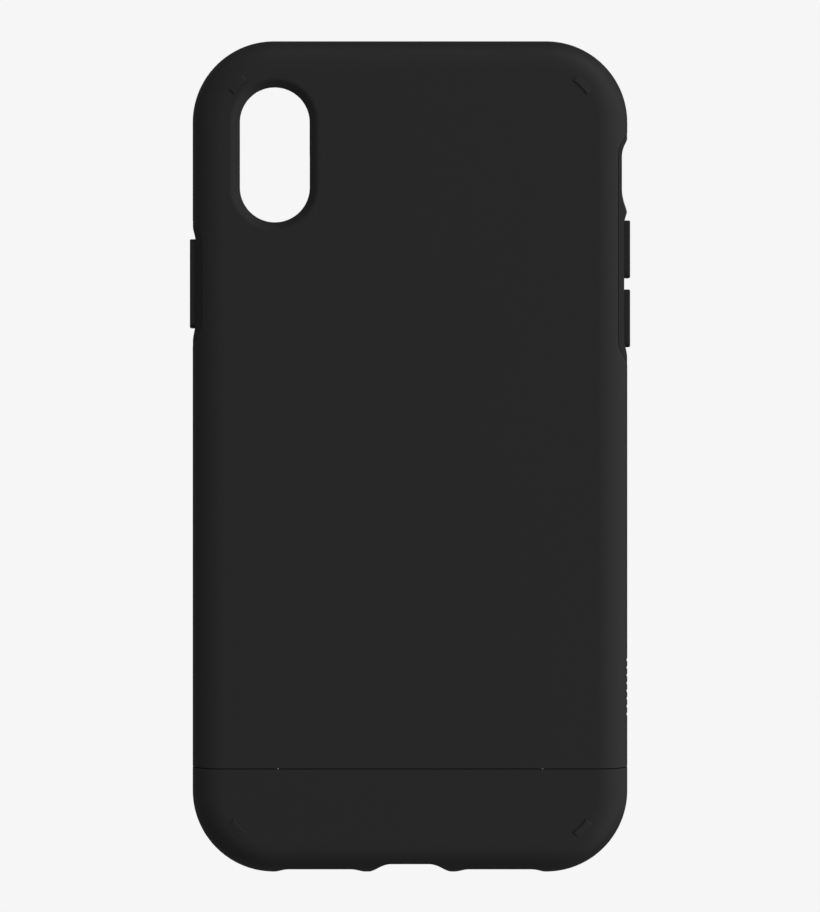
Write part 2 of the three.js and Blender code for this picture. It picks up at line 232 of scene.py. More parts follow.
def even(phi, q):
    """phi divided by how fast it grows, so that it measures distance in the plane. Where phi
    jumps, there is no slope to divide by."""
    slope = np.hypot(*np.moveaxis(growth(phi, q), -1, 0))
    return phi(q) / np.where(slope > JUMP, 1, np.maximum(slope, LEAST_SLOPE))


MOST_MOVE = 0.6  # of a grid step, the furthest that a grid point is moved
PASSES = 8


def fit_grid(xs, zs, phi):
    """Grid cells inside phi > 0. Each grid edge that phi's zero line crosses has its nearer end
    moved onto that line, so that the cells end exactly on it. Returns points, quads, triangles."""
    q = np.stack(np.meshgrid(xs, zs, indexing="ij"), -1)
    f = phi(q)
    mark = np.abs(f) < 1e-9
    for axis in (0, 1):
        a, b = [slice(None)] * 2, [slice(None)] * 2
        a[axis], b[axis] = slice(None, -1), slice(1, None)
        fa, fb = f[tuple(a)], f[tuple(b)]
        cross = fa * fb < 0
        nearer = np.abs(fa) <= np.abs(fb)
        mark[tuple(a)] |= cross & nearer
        mark[tuple(b)] |= cross & ~nearer
    step_x, step_z = np.gradient(xs), np.gradient(zs)
    reach = MOST_MOVE * np.stack(np.meshgrid(step_x, step_z, indexing="ij"), -1)[mark]
    start = q[mark]
    moved = start.copy()
    for _ in range(PASSES):
        moved = moved - even(phi, moved)[:, None] * uphill(phi, moved)
        moved = np.clip(moved, start - reach, start + reach)
    q[mark] = moved
    sign = np.where(mark, 0, np.sign(f)).astype(int)
    index = np.arange(f.size).reshape(f.shape)
    early, late = slice(None, -1), slice(1, None)
    ring = [(early, early), (late, early), (late, late), (early, late)]
    s = np.stack([sign[r] for r in ring], -1).reshape(-1, 4)
    v = np.stack([index[r] for r in ring], -1).reshape(-1, 4)
    q = q.reshape(-1, 2)
    inside = phi(q[v].mean(1)) > 0
    low, high = s.min(1), s.max(1)
    whole = (low == 1) | ((low == 0) & (((s == 0).sum(1) < 3) | inside))
    split = ~whole & (high == 1)
    triangles = []
    for corner in range(4):
        near = [(corner - 1) % 4, corner, (corner + 1) % 4]
        good = split & (s[:, corner] == 1) & (s[:, near].min(1) >= 0)
        triangles.append(v[good][:, near])
    return q, v[whole], np.concatenate(triangles)


def open_edges(quads, triangles):
    """Directed edges that only one face uses."""
    edges = [quads[:, [i, (i + 1) % 4]] for i in range(4)]
    edges += [triangles[:, [i, (i + 1) % 3]] for i in range(3)]
    edges = np.concatenate(edges).astype(np.int64)
    span = edges.max() + 1
    code = edges[:, 0] * span + edges[:, 1]
    back = edges[:, 1] * span + edges[:, 0]
    return edges[~np.isin(code, back)]


RUB_REACH = 0.5  # how far from an edge handling has rubbed the surface, in millimetres


def wall(xs, zs, phi, skins, fillet, rows=4):
    """A closed wall: skins(q) gives its two faces over the region phi > 0, and its edges are
    rounded on both sides. Across an edge, the row at angle a lies sin(a) * fillet outwards and
    (1 - cos(a)) * fillet deep. The last array is the rub: 1 on an edge, fading away from it."""
    q, quads, triangles = fit_grid(xs, zs, lambda p: phi(p) - fillet)
    used = np.unique(np.concatenate([quads.ravel(), triangles.ravel()]))
    place = np.full(len(q), -1)
    place[used] = np.arange(len(used))
    q, quads, triangles = q[used], place[quads], place[triangles]
    skin_a, skin_b = skins(q)
    edges = open_edges(quads, triangles)
    rim = np.unique(edges)
    seat = np.full(len(q), -1)
    seat[rim] = np.arange(len(rim))
    out = -uphill(phi, q[rim])
    turns = np.radians(90 * np.arange(1, rows + 1) / rows)
    columns = []
    for angle in np.concatenate([turns, turns[::-1]]):
        a, b = skins(q[rim] + out * fillet * math.sin(angle))
        across = np.maximum(np.linalg.norm(b - a, axis=1, keepdims=True), 1e-6)
        depth = np.minimum(fillet * (1 - math.cos(angle)), across / 2)
        from_a = len(columns) < rows
        columns.append(a + (b - a) * depth / across if from_a else b + (a - b) * depth / across)
    count, per = len(q), len(rim)
    points = np.concatenate([skin_a, skin_b, *columns])
    rings = [np.arange(count)]
    rings += [2 * count + k * per + seat for k in range(2 * rows)]
    rings += [np.arange(count) + count]
    start, end = edges[:, 0], edges[:, 1]
    strips = [np.stack([near[end], near[start], far[start], far[end]], 1)
              for near, far in zip(rings, rings[1:])]
    rub = np.exp(-np.maximum(phi(q) - fillet, 0) / RUB_REACH)
    return {
        "points": points,
        "quads": np.concatenate([quads, quads[:, ::-1] + count, *strips]),
        "triangles": np.concatenate([triangles, triangles[:, ::-1] + count]),
        "rub": np.concatenate([rub, rub, np.ones(len(points) - 2 * count)]),
    }


# ---- meshes ----


def across_faces(points, faces):
    """Each face's area vector, from its diagonals or its two sides."""
    third = faces[:, -1]
    second, start = (faces[:, 2], faces[:, 1]) if faces.shape[1] == 4 else (faces[:, 1], faces[:, 0])
    return np.cross(points[second] - points[faces[:, 0]], points[third] - points[start])


def vertex_normals(points, quads, triangles):
    """Each vertex's normal: the sum of its faces' area vectors, so that broad faces stay flat."""
    total = np.zeros_like(points)
    for faces in (quads, triangles):
        across = across_faces(points, faces)
        for corner in range(faces.shape[1]):
            for axis in range(3):
                total[:, axis] += np.bincount(faces[:, corner], across[:, axis], len(points))
    size = np.linalg.norm(total, axis=1, keepdims=True)
    return total / np.where(size > 0, size, 1)


def signed_volume(points, quads, triangles):
    """Six times the volume that the faces shut in, positive where they face outwards."""
    halves = np.concatenate([quads[:, [0, 1, 2]], quads[:, [0, 2, 3]], triangles])
    a, b, c = (points[halves[:, i]] for i in range(3))
    return np.einsum("ij,ij->", a, np.cross(b, c))


def add_piece(name, solid, body, node, material):
    """Puts a wall into the scene as one smooth mesh that rides on a body and stands for a node."""
    points, quads, triangles = solid["points"], solid["quads"], solid["triangles"]
    if signed_volume(points, quads, triangles) < 0:
        quads, triangles = quads[:, ::-1], triangles[:, ::-1]
    mesh = bpy.data.meshes.new(name)
    mesh.vertices.add(len(points))
    mesh.vertices.foreach_set("co", (points * MM).astype(np.float32).ravel())
    loops = np.concatenate([quads.ravel(), triangles.ravel()]).astype(np.int32)
    sizes = np.concatenate([np.full(len(quads), 4), np.full(len(triangles), 3)])
    starts = np.concatenate([[0], np.cumsum(sizes)[:-1]]).astype(np.int32)
    mesh.loops.add(len(loops))
    mesh.loops.foreach_set("vertex_index", loops)
    mesh.polygons.add(len(sizes))
    mesh.polygons.foreach_set("loop_start", starts)
    mesh.polygons.foreach_set("use_smooth", np.ones(len(sizes), bool))
    mesh.update(calc_edges=True)
    mesh.validate()
    mesh.normals_split_custom_set_from_vertices(vertex_normals(points, quads, triangles))
    rub = mesh.attributes.new("rub", "FLOAT", "POINT")
    rub.data.foreach_set("value", solid["rub"].astype(np.float32))
    mesh.materials.append(material)
    piece = bpy.data.objects.new(name, mesh)
    bpy.context.scene.collection.objects.link(piece)
    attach(piece, body)
    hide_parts(node)


# ---- the case's outer surface and what is cut in it ----

FLAT_Y = FRONT - MID_Y - SIDE  # half of the straight stretch at the widest plane
LOW_ARC_Y, HIGH_ARC_Y = MID_Y - FLAT_Y, MID_Y + FLAT_Y
RIM_E = SIDE - RIM


def offset_section(inset, end_e, end_y=None):
    """The case's section drawn in by an inset: back, rounded side, and front as far in as end_e."""
    radius = SIDE - inset
    turn = math.degrees(math.acos(end_e / radius))
    tail = [] if end_y is None else [[[end_e, end_y]]]
    return trace([[0, LOW_ARC_Y - radius]], arc(0, LOW_ARC_Y, radius, -90, 0),
                 arc(0, HIGH_ARC_Y, radius, 0, turn), *tail)


OUTLINE = (HALF_WIDTH - SIDE, MID_Z - SIDE, CORNER - SIDE)
OUTER = offset_section(0, RIM_E)
OUTER_END = OUTER["along"][-1]
WIDEST = SIDE * math.pi / 2 + FLAT_Y
ELSEWHERE = -50.0  # a distance far outside, for the walls that a window isn't in


def side_window(points, q, t, side, z, half_y, half_z, corner):
    """Distance inside a rounded rectangle on one side wall, seen square on from that side."""
    inside = round_box(points[..., 1] - MID_Y, points[..., 2] - z, half_y, half_z, corner)
    return np.where((q[..., 0] * side > 0) & (t > 0), inside, ELSEWHERE)


def camera_window(q, grow=0.0):
    """Distance inside the camera window, in the plane of the back."""
    half_x, half_z = CAMERA["half"]
    return round_box(q[..., 0] - CAMERA["x"], q[..., 1] - CAMERA["z"],
                     half_x + grow, half_z + grow, half_x + grow)


def inlay_window(q, window, shrink=0.0):
    """Distance inside a side window of the hard shell, a stadium seen from that side."""
    side, low, high, reach = window
    points, _, _, t = carry(q, OUTLINE, OUTER)
    return side_window(points, q, t, side, (low + high) / 2, reach - shrink,
                       (high - low) / 2 - shrink, reach - shrink)


def port_holes(q, outline, section, grow=0.0):
    """Distance inside the nearest hole of the bottom edge, seen square on from below."""

    def inside(p, x, half_x, half_y):
        points, _, _, t = carry(p, outline, section)
        hole = round_box(points[..., 0] - x, points[..., 1] - PHONE_Y,
                         half_x + grow, half_y + grow, half_y + grow)
        return np.where((p[..., 1] < MID_Z) & (t > 0), hole, ELSEWHERE)

    return np.max([even(lambda p, hole=hole: inside(p, *hole), q) for hole in PORTS], axis=0)


PORT_SCOOP = {"x": 0.0, "half": 7.25, "slope": 0.65, "depth": 1.79, "ease": 0.7}
SPEAKER_SCOOP = {"x": 16.5, "half": 7.9, "slope": 0.45, "depth": 0.64, "ease": 0.4}


def bottom_floor(x):
    """Height of the cuts in the bottom edge: a deep scoop at the port and a shallow one on each
    side. Each rises slope * (half - distance from its middle), eased into a level floor at its
    depth. Negative away from them."""

    def scoop(cut):
        flank = cut["slope"] * (cut["half"] - np.abs(np.abs(x) - cut["x"]))
        return smooth_min(flank, cut["depth"], cut["ease"])

    return np.maximum(scoop(PORT_SCOOP), scoop(SPEAKER_SCOOP))


# Grip grooves on the right side of the upper shell: short cuts across the widest plane.
GRIP = {"low": 28.9, "pitch": 1.42, "count": 8, "half": 2.5, "radius": 0.36, "depth": 0.15}


def grip_depth(points, q, t):
    """Depth of the row of grooves: each a round-ended channel with soft sides."""
    along = points[..., 2] - GRIP["low"]
    nearest = np.clip(np.round(along / GRIP["pitch"]), 0, GRIP["count"] - 1)
    beyond = np.maximum(np.abs(points[..., 1] - MID_Y) - GRIP["half"], 0)
    away = np.hypot(along - nearest * GRIP["pitch"], beyond)
    cut = GRIP["depth"] * smooth_step(1 - away / GRIP["radius"])
    return np.where((q[..., 0] > 0) & (t > 0), cut, 0)


def camera_depth(q):
    """The flare round the camera window: a straight slope down to its edge, eased at the top."""
    u = -camera_window(q)
    slope_down = CAMERA["depth"] * (1 - u / CAMERA["chamfer"])
    return np.clip(smooth_max(slope_down, 0, CAMERA["ease"]), 0, CAMERA["depth"] + CAMERA["overcut"])


BOSS = 1.2  # shell left above the floor of a cut in the bottom edge
SCOOP_EASE = 0.25  # where that floor meets the rounded edge


def shell_skins(q):
    """The hard shell's outer face, with its flare, grooves and bottom cuts, and its inner face."""
    points, normals, out, t = carry(q, OUTLINE, OUTER)
    depth = camera_depth(q) + grip_depth(points, q, t)
    outer = points - normals * depth[..., None]
    inner = points - normals * SHELL
    floor = bottom_floor(points[..., 0])
    low = (q[..., 1] < SEAM_Z) & (t > 0)
    outer[..., 2] = np.where(low, smooth_max(outer[..., 2], floor, SCOOP_EASE), outer[..., 2])
    inner[..., 2] = np.where(low, np.maximum(inner[..., 2], floor + BOSS), inner[..., 2])
    # In front of the widest plane the inner face keeps outside the column that the soft lip fills.
    base = q - out * np.maximum(t, 0)[..., None]
    e = (inner[..., 0] - base[..., 0]) * out[..., 0] + (inner[..., 2] - base[..., 1]) * out[..., 1]
    push = np.where((t > WIDEST) & (e < RIM_E), RIM_E - e, 0)
    inner[..., 0] += out[..., 0] * push
    inner[..., 2] += out[..., 1] * push
    return outer, inner


def shell_region(q):
    """Where the hard shell is: short of its front edge, and outside the camera and side windows."""
    phi = np.minimum(OUTER_END - unroll(q, OUTLINE)[2], -camera_window(q))
    for window in WINDOWS.values():
        phi = np.minimum(phi, -even(lambda p, w=window: inlay_window(p, w), q))
    return phi


def above_seam(q, lap=0.0):
    """Distance above the seam's upper side, raised by the lap."""
    return q[..., 1] - (SEAM_Z + lap + SEAM_GAP / 2)


def below_seam(q, lap=0.0):
    """Distance below the seam's lower side, raised by the lap."""
    return SEAM_Z + lap - SEAM_GAP / 2 - q[..., 1]


EDGE_X, EDGE_Z = OUTLINE[0], OUTLINE[1]
SHELL_FILLET = 0.11
SEAM_HIGH, SEAM_LOW = SEAM_Z + SEAM_GAP / 2, SEAM_Z - SEAM_GAP / 2
SEAM_EASE = 0.3  # rounds a piece's outline where it meets the seam
SEAM_ROW = 0.3  # height of the row of grid cells along the seam
ROUNDING_STEP = 0.42
ROUNDING = graded((0, ROUNDING_STEP), (OUTER_END, 1))

# Where the upper shell's grid is finer, beyond the edges of what it has to follow.
FLARE_X, FLARE_Z = (-33.5, -15.7), (116.7, 145.3)
RIGHT_PAD_X = 23.5
GRIP_Z = (28.4, 39.3)
WINDOWS_LOW = 92.5


def upper_shell():
    """The upper half's hard shell."""
    middle = graded((-EDGE_X, 0.5), (FLARE_X[0], 0.28), (FLARE_X[1], 3), (RIGHT_PAD_X, 0.55),
                    (EDGE_X, 1))
    xs = mirrored(middle, EDGE_X, ROUNDING)
    zs = graded((SEAM_HIGH, SEAM_ROW), (SEAM_HIGH + SEAM_ROW, 2), (GRIP_Z[0], 0.2), (GRIP_Z[1], 2),
                (WINDOWS_LOW, 0.5), (FLARE_Z[0], 0.28), (FLARE_Z[1], 0.5),
                (MID_Z + EDGE_Z, ROUNDING_STEP), (MID_Z + EDGE_Z + OUTER_END, 1))
    region = lambda q: smooth_min(shell_region(q), above_seam(q), SEAM_EASE)
    return wall(xs, zs, region, shell_skins, SHELL_FILLET)


def bottom_shell():
    """The cap's hard shell, with the port and speaker holes."""
    middle = graded((-EDGE_X, 0.3), (EDGE_X, 1))
    xs = mirrored(middle, EDGE_X, ROUNDING)
    zs = graded((MID_Z - EDGE_Z - OUTER_END, 0.3), (MID_Z - EDGE_Z, 0.7),
                (SEAM_LOW - SEAM_ROW, SEAM_ROW), (SEAM_LOW, 1))
    solid = lambda q: np.minimum(shell_region(q), -port_holes(q, OUTLINE, OUTER))
    region = lambda q: smooth_min(solid(q), below_seam(q), SEAM_EASE)
    return wall(xs, zs, region, shell_skins, SHELL_FILLET)


# ---- the soft liner ----

COVE = 1.0  # radius between the pocket's floor and its wall
POCKET = (POCKET_HALF[0] - COVE, POCKET_HALF[1] - COVE, POCKET_CORNER - COVE)
LINER_INSET = SHELL + LAYER_GAP
LIP_IN = COVE - SCREEN_LIP
LIP_OUT = HALF_WIDTH - RIM - LAYER_GAP - POCKET[0]
LIP_END = 4.25  # depth at which the lip's inner face ends
LIP_ROOT = 0.4  # how much nearer the back its outer face ends
UNDERCUT, NOSE, CREST, BROW = 0.35, 0.5, 0.4, 0.3  # radii round the lip
BROW_DROP = 0.3  # from the lip's crest down to its brow
LINER_TOP = FRONT - 0.01
LINER_INNER = trace(
    [[0, POCKET_FLOOR]],
    arc(0, POCKET_FLOOR + COVE, COVE, -90, 0),
    arc(COVE - UNDERCUT, POCKET_ROOF - UNDERCUT, UNDERCUT, 0, 90, 12),
    arc(LIP_IN + NOSE, POCKET_ROOF + NOSE, NOSE, 270, 180, 16),
    arc(LIP_IN + CREST, LINER_TOP - CREST, CREST, 180, 90, 16),
    arc(LIP_OUT - BROW, LINER_TOP - BROW_DROP - BROW, BROW, 90, 0, 12),
    [[LIP_OUT, LIP_END]],
)
LINER_END = LINER_INNER["along"][-1]
COVE_END = COVE * math.pi / 2
WALL_HIGH = POCKET_ROOF - UNDERCUT
LINER_OUTER = offset_section(LINER_INSET, RIM_E - LAYER_GAP, LIP_END - LIP_ROOT)
OUTLINE_STEP = POCKET[0] - OUTLINE[0]  # between the two outlines that the liner's skins follow


def extra_step(out):
    """How much more than that step the outlines are apart in a given way out: the difference of
    their corners' centres along it and of their radii."""
    radii = POCKET[2] - OUTLINE[2]
    across = POCKET[0] - OUTLINE[0] - radii
    along = POCKET[1] - OUTLINE[1] - radii
    return radii + across * np.abs(out[..., 0]) + along * np.abs(out[..., 1]) - OUTLINE_STEP


def outer_distance(t):
    """How far out the liner's outer skin is at distance t of the inner one: level with it up the
    wall, and then slowly, to meet it at the end of the lip."""
    depths = np.linspace(POCKET_FLOOR + COVE, LINER_OUTER["points"][-2, 1], 24)
    inner = COVE_END + depths - depths[0]
    outer = np.interp(depths, LINER_OUTER["points"][:, 1], LINER_OUTER["along"]) - OUTLINE_STEP
    return np.interp(t, [0, *inner, LINER_END], [0, *outer, LINER_OUTER["along"][-1] - OUTLINE_STEP])


GROOVE_CORNER = 0.4
GROOVE_FLANK = 0.2  # width of the slope down into a groove


def arm_groove_depth(points, q, t):
    """Depth of the grooves that the latch arms lie in, deeper above the seam for the bump."""
    y, z = points[..., 1] - PHONE_Y, points[..., 2]
    half = ARM["half"] + ARM["play"]
    low, high = ARM["low"] - ARM["play"], ARM["high"] + ARM["play"]
    deep = ARM["near"] + ARM["thick"] + ARM["play"]

    def channel(start, end, depth):
        inside = round_box(y, z - (start + end) / 2, half, (end - start) / 2, GROOVE_CORNER)
        return depth * smooth_step(inside / GROOVE_FLANK)

    whole = channel(low, high, deep)
    upper = channel(SEAM_Z - 1, high, deep + BUMP["rise"])
    detent = channel(BUMP["low"] + BUMP["ramp"] - ARM["play"],
                     BUMP["high"] - BUMP["ramp"] + ARM["play"], deep + 2 * BUMP["rise"])
    above = np.where(z > SEAM_Z, np.maximum(upper, detent), 0)
    return np.where((t > 0) & (t < COVE_END + WALL_HIGH - POCKET_FLOOR), np.maximum(whole, above), 0)


def liner_skins(q):
    """The liner's pocket side, round the lip to the rim, and its outer side against the shell."""
    inner, _, out, t = carry(q, POCKET, LINER_INNER)
    groove = arm_groove_depth(inner, q, t) * (np.abs(out[..., 0]) > 0.99)
    inner[..., 0] += out[..., 0] * groove
    base = q - out * np.maximum(t, 0)[..., None]
    reach = outer_distance(t) - extra_step(out) * np.clip(t / COVE_END, 0, 1)
    matched = np.where((t > 0)[..., None], base + out * reach[..., None], q)
    outer, _, _, _ = carry(matched, OUTLINE, LINER_OUTER)
    floor = bottom_floor(outer[..., 0]) + BOSS + LAYER_GAP
    low = (q[..., 1] < SEAM_Z) & (t > 0)
    outer[..., 2] = np.where(low, np.maximum(outer[..., 2], floor), outer[..., 2])
    return inner, outer


def stem_hole(q, spec):
    """Distance inside the hole that a button's stem passes through."""
    points, _, _, t = carry(q, POCKET, LINER_INNER)
    half_y, half_z = spec["stem"]
    return side_window(points, q, t, spec["side"], spec["z"], half_y + BUTTON_PLAY,
                       half_z + BUTTON_PLAY, half_y + BUTTON_PLAY)


def mute_hole(q, outline, section, grow):
    """Distance inside the slot over the phone's mute switch."""
    points, _, _, t = carry(q, outline, section)
    half_y, half_z = MUTE["half"]
    return side_window(points, q, t, 1, MUTE["z"], half_y + grow, half_z + grow, MUTE["corner"] + grow)


def tongue_slot(q):
    """Distance inside the opening of the pocket's floor that the tongue slides in."""
    half_x, half_z = TONGUE["half"]
    play = TONGUE["play"]
    return round_box(q[..., 0], q[..., 1] - TONGUE["z"], half_x + play, half_z + play,
                     TONGUE["corner"] + play)


def liner_region(q):
    """Where the liner is: as far as the end of its lip, and outside its holes."""
    phi = LINER_END - unroll(q, POCKET)[2]
    phi = np.minimum(phi, -camera_window(q, LAYER_GAP))
    phi = np.minimum(phi, -tongue_slot(q))
    phi = np.minimum(phi, -mute_hole(q, POCKET, LINER_INNER, LAYER_GAP))
    for spec in BUTTONS.values():
        phi = np.minimum(phi, -stem_hole(q, spec))
    return phi


LINER_FILLET = 0.12
LAP = 0.7  # how far the cap's liner stands up inside the upper shell
GROOVE_HALF = ARM["half"] + ARM["play"]
GROOVE_LOW = COVE_END + PHONE_Y - GROOVE_HALF - (POCKET_FLOOR + COVE)
GROOVE_HIGH = GROOVE_LOW + 2 * GROOVE_HALF
LIP_START = COVE_END + WALL_HIGH - (POCKET_FLOOR + COVE)
GROOVE_SIDE = 0.25  # breadth of the fine grid lines along a groove's side
LINER_ROUNDING = graded((0, 0.2), (COVE_END, 0.5), (GROOVE_LOW, 0.07), (GROOVE_LOW + GROOVE_SIDE, 0.4),
                        (GROOVE_HIGH - GROOVE_SIDE, 0.07), (GROOVE_HIGH, 0.5), (LIP_START, 0.16),
                        (LINER_END, 1))

# Where the liners' grids are finer: the ends of the arm grooves and of the detents in them.
GROOVE_FOOT_Z, GROOVE_HEAD_Z = (11.2, 11.5), (28.15, 28.5)
DETENT_LOW_Z, DETENT_HIGH_Z = (24.9, 25.4), (26.4, 26.9)
CAMERA_X = (-32, -17.2)
HOLES_Z = (98, 147)


def upper_liner():
    """The upper half's soft liner, with the camera window, the mute slot and the stems' holes."""
    middle = graded((-POCKET[0], 1), (CAMERA_X[0], 0.45), (CAMERA_X[1], 2), (POCKET[0], 1))
    xs = mirrored(middle, POCKET[0], LINER_ROUNDING)
    zs = graded((SEAM_HIGH + LAP, 0.3), (DETENT_LOW_Z[0], 0.08), (DETENT_LOW_Z[1], 0.5),
                (DETENT_HIGH_Z[0], 0.08), (DETENT_HIGH_Z[1], 0.4), (GROOVE_HEAD_Z[0], 0.08),
                (GROOVE_HEAD_Z[1], 2), (HOLES_Z[0], 0.5), (HOLES_Z[1], 0.5), (MID_Z + POCKET[1], 1))
    zs = np.concatenate([zs, MID_Z + POCKET[1] + LINER_ROUNDING[1:]])
    region = lambda q: smooth_min(liner_region(q), above_seam(q, LAP), SEAM_EASE)
    return wall(xs, zs, region, liner_skins, LINER_FILLET)


def bottom_liner():
    """The cap's soft liner, with the port and speaker holes."""
    middle = graded((-POCKET[0], 0.7), (POCKET[0], 1))
    xs = mirrored(middle, POCKET[0], LINER_ROUNDING)
    zs = graded((MID_Z - POCKET[1], 0.6), (GROOVE_FOOT_Z[0], 0.08), (GROOVE_FOOT_Z[1], 0.8),
                (SEAM_LOW, 0.3), (SEAM_LOW + LAP, 1))
    zs = np.concatenate([MID_Z - POCKET[1] - LINER_ROUNDING[:0:-1], zs])
    solid = lambda q: np.minimum(liner_region(q), -port_holes(q, POCKET, LINER_INNER, LAYER_GAP))
    region = lambda q: smooth_min(solid(q), below_seam(q, LAP), SEAM_EASE)
    return wall(xs, zs, region, liner_skins, LINER_FILLET)


# ---- the soft strips in the side windows ----

INLAY_SET = 0.03  # how far a strip lies below the shell
INLAY_GAP = 0.08
INLAY_UNDERLAP = 0.02  # how far a strip's back lies below the shell's inner face
INLAY_REACH = 5.2  # of a strip's grid, along the section from the widest plane
INLAY_FILLET = 0.1
CUT_EASE = 0.12  # where a cut meets the rounded side
UNCUT = -0.5  # depth that stands for no cut at all

# Cuts in the strips, by height: the slopes down from the top and up from the low end, each with
# where it starts, and the depth that they are eased into.
POWER_RECESS = {"top": (117.9, 0.33), "low": (97.6, 0.27), "depth": 0.635, "ease": 0.3}
VOLUME_RECESS = {"top": (120.94, 0.365), "low": (94.72, 0.305), "depth": 0.684, "ease": 0.2}
MUTE_SCOOP = {"top": (134.14, 0.52), "low": (120.78, 0.425), "depth": 1.15, "ease": 0.6}


def cut_depth(cut, z):
    """Depth of a cut at a height: the lesser slope * distance from its two ends, eased into the
    cut's depth. Negative beyond its ends."""
    top, top_slope = cut["top"]
    low, low_slope = cut["low"]
    flank = np.minimum(top_slope * (top - z), low_slope * (z - low))
    return smooth_min(flank, cut["depth"], cut["ease"])


def inlay(window, cuts, holes):
    """A strip level with the shell, cut back square to the side by the deepest of its cuts."""
    side, low, high, reach = window

    def skins(q):
        points, normals, _, _ = carry(q, OUTLINE, OUTER)
        outer = points - normals * INLAY_SET
        depth = np.max([cut_depth(cut, points[..., 2]) for cut in cuts], axis=0)
        face = HALF_WIDTH - INLAY_SET - np.maximum(depth, UNCUT)
        outer[..., 0] = side * smooth_min(side * outer[..., 0], face, CUT_EASE)
        return outer, points - normals * (SHELL + INLAY_UNDERLAP)

    def cap_hole(q, spec):
        points, _, _, t = carry(q, OUTLINE, OUTER)
        half_y, half_z = spec["half"]
        return side_window(points, q, t, side, spec["z"], half_y + BUTTON_PLAY,
                           half_z + BUTTON_PLAY, BUTTON_CORNER + BUTTON_PLAY)

    def region(q):
        phi = even(lambda p: inlay_window(p, window, INLAY_GAP), q)
        for spec in holes:
            phi = np.minimum(phi, -cap_hole(q, spec))
        if side > 0:
            phi = np.minimum(phi, -mute_hole(q, OUTLINE, OUTER, 0))
        return phi

    beyond = 0.1
    across = graded((WIDEST - INLAY_REACH, 0.16), (WIDEST + INLAY_REACH, 1))
    xs = EDGE_X + across if side > 0 else -(EDGE_X + across)[::-1]
    zs = graded((low - beyond, 0.2), (high + beyond, 1))
    return wall(xs, zs, region, skins, INLAY_FILLET)


# ---- buttons ----

BUTTON_RISE = 0.5
CAP_X = HALF_WIDTH + BUTTON_RISE
BUTTON_EDGE = 0.25
BUTTON_CROWN = 0.1
STEM_FLANK = 0.3  # width of the slope from the cap's back to its stem


def button(spec):
    """A cap with round corners and a face crowned across its width, on a tapered stem."""
    side = spec["side"]
    half_y, half_z = spec["half"]
    stem_y, stem_z = spec["stem"]
    stem_reach = CAP_X - CAP_DEPTH - (POCKET_HALF[0] + STEM_END)

    def skins(q):
        u, v = q[..., 0], q[..., 1]
        face = CAP_X - BUTTON_CROWN * (u / half_y) ** 2
        stem = round_box(u, v, stem_y, stem_z, stem_y)
        back = CAP_X - CAP_DEPTH - stem_reach * smooth_step(stem / STEM_FLANK)
        place = lambda x: np.stack([side * x, MID_Y + u, spec["z"] + v], -1)
        return place(face), place(back)

    us = graded((-half_y, 0.1), (half_y, 1))
    vs = graded((-half_z, 0.12), (half_z, 1))
    region = lambda q: round_box(q[..., 0], q[..., 1], half_y, half_z, BUTTON_CORNER)
    return wall(us, vs, region, skins, BUTTON_EDGE, rows=6)


# ---- corner pads ----

PAD = {"inner": 8.35, "outer": 9.8, "half": 1.825, "level": 0.3, "rise": 0.3, "low": 0.07,
       "draft": 0.22, "corner": 0.06, "ease": 0.2, "fillet": 0.03}


def corner_pad(side_x, side_z):
    """A short arc-sided block on a corner's diagonal. Its top is level at the inner edge and
    falls in a straight slope towards the outer one. The other three sides are drafted."""
    x0 = side_x * (HALF_WIDTH - CORNER)
    z0 = MID_Z + side_z * (MID_Z - CORNER)
    turn = math.atan2(side_z, side_x)

    def region(q):
        r = np.hypot(q[..., 0], q[..., 1])
        middle = (PAD["inner"] + PAD["outer"]) / 2
        half = (PAD["outer"] - PAD["inner"]) / 2
        return round_box(r - middle, q[..., 1], half, PAD["half"], PAD["corner"])

    def skins(q):
        a, b = q[..., 0], q[..., 1]
        r = np.hypot(a, b)
        fall = (r - PAD["inner"] - PAD["level"]) / (PAD["outer"] - PAD["inner"] - PAD["level"])
        lift = PAD["rise"] - (PAD["rise"] - PAD["low"]) * smooth_max(fall, 0, PAD["ease"])
        inside = np.minimum(r - PAD["inner"], PAD["half"] - np.abs(b))
        top = BACK - lift * smooth_min(np.maximum(inside, 0) / PAD["draft"], 1.0, PAD["ease"])
        x = x0 + a * math.cos(turn) - b * math.sin(turn)
        z = z0 + a * math.sin(turn) + b * math.cos(turn)
        return np.stack([x, top, z], -1), np.stack([x, np.full_like(x, BACK + SHELL), z], -1)

    a_lines = graded((PAD["inner"] - 0.25, 0.045), (PAD["outer"] + 0.05, 1))
    b_lines = graded((-PAD["half"], 0.05), (PAD["half"], 1))
    return wall(a_lines, b_lines, region, skins, PAD["fillet"])


# ---- the tongue and the latch arms of the cap ----

TONGUE_SLIP = 0.15  # between the tongue and the shell behind it
TONGUE_SET = 0.05  # how far the tongue lies below the pocket's floor
TONGUE_FILLET = 0.12
LEAD = {"length": 1.6, "thinning": 0.22}  # of the tongue's upper edge
RIBS = {"pitch": 6, "half": 0.5, "depth": 0.1, "above_seam": 1, "below_top": 2.5}


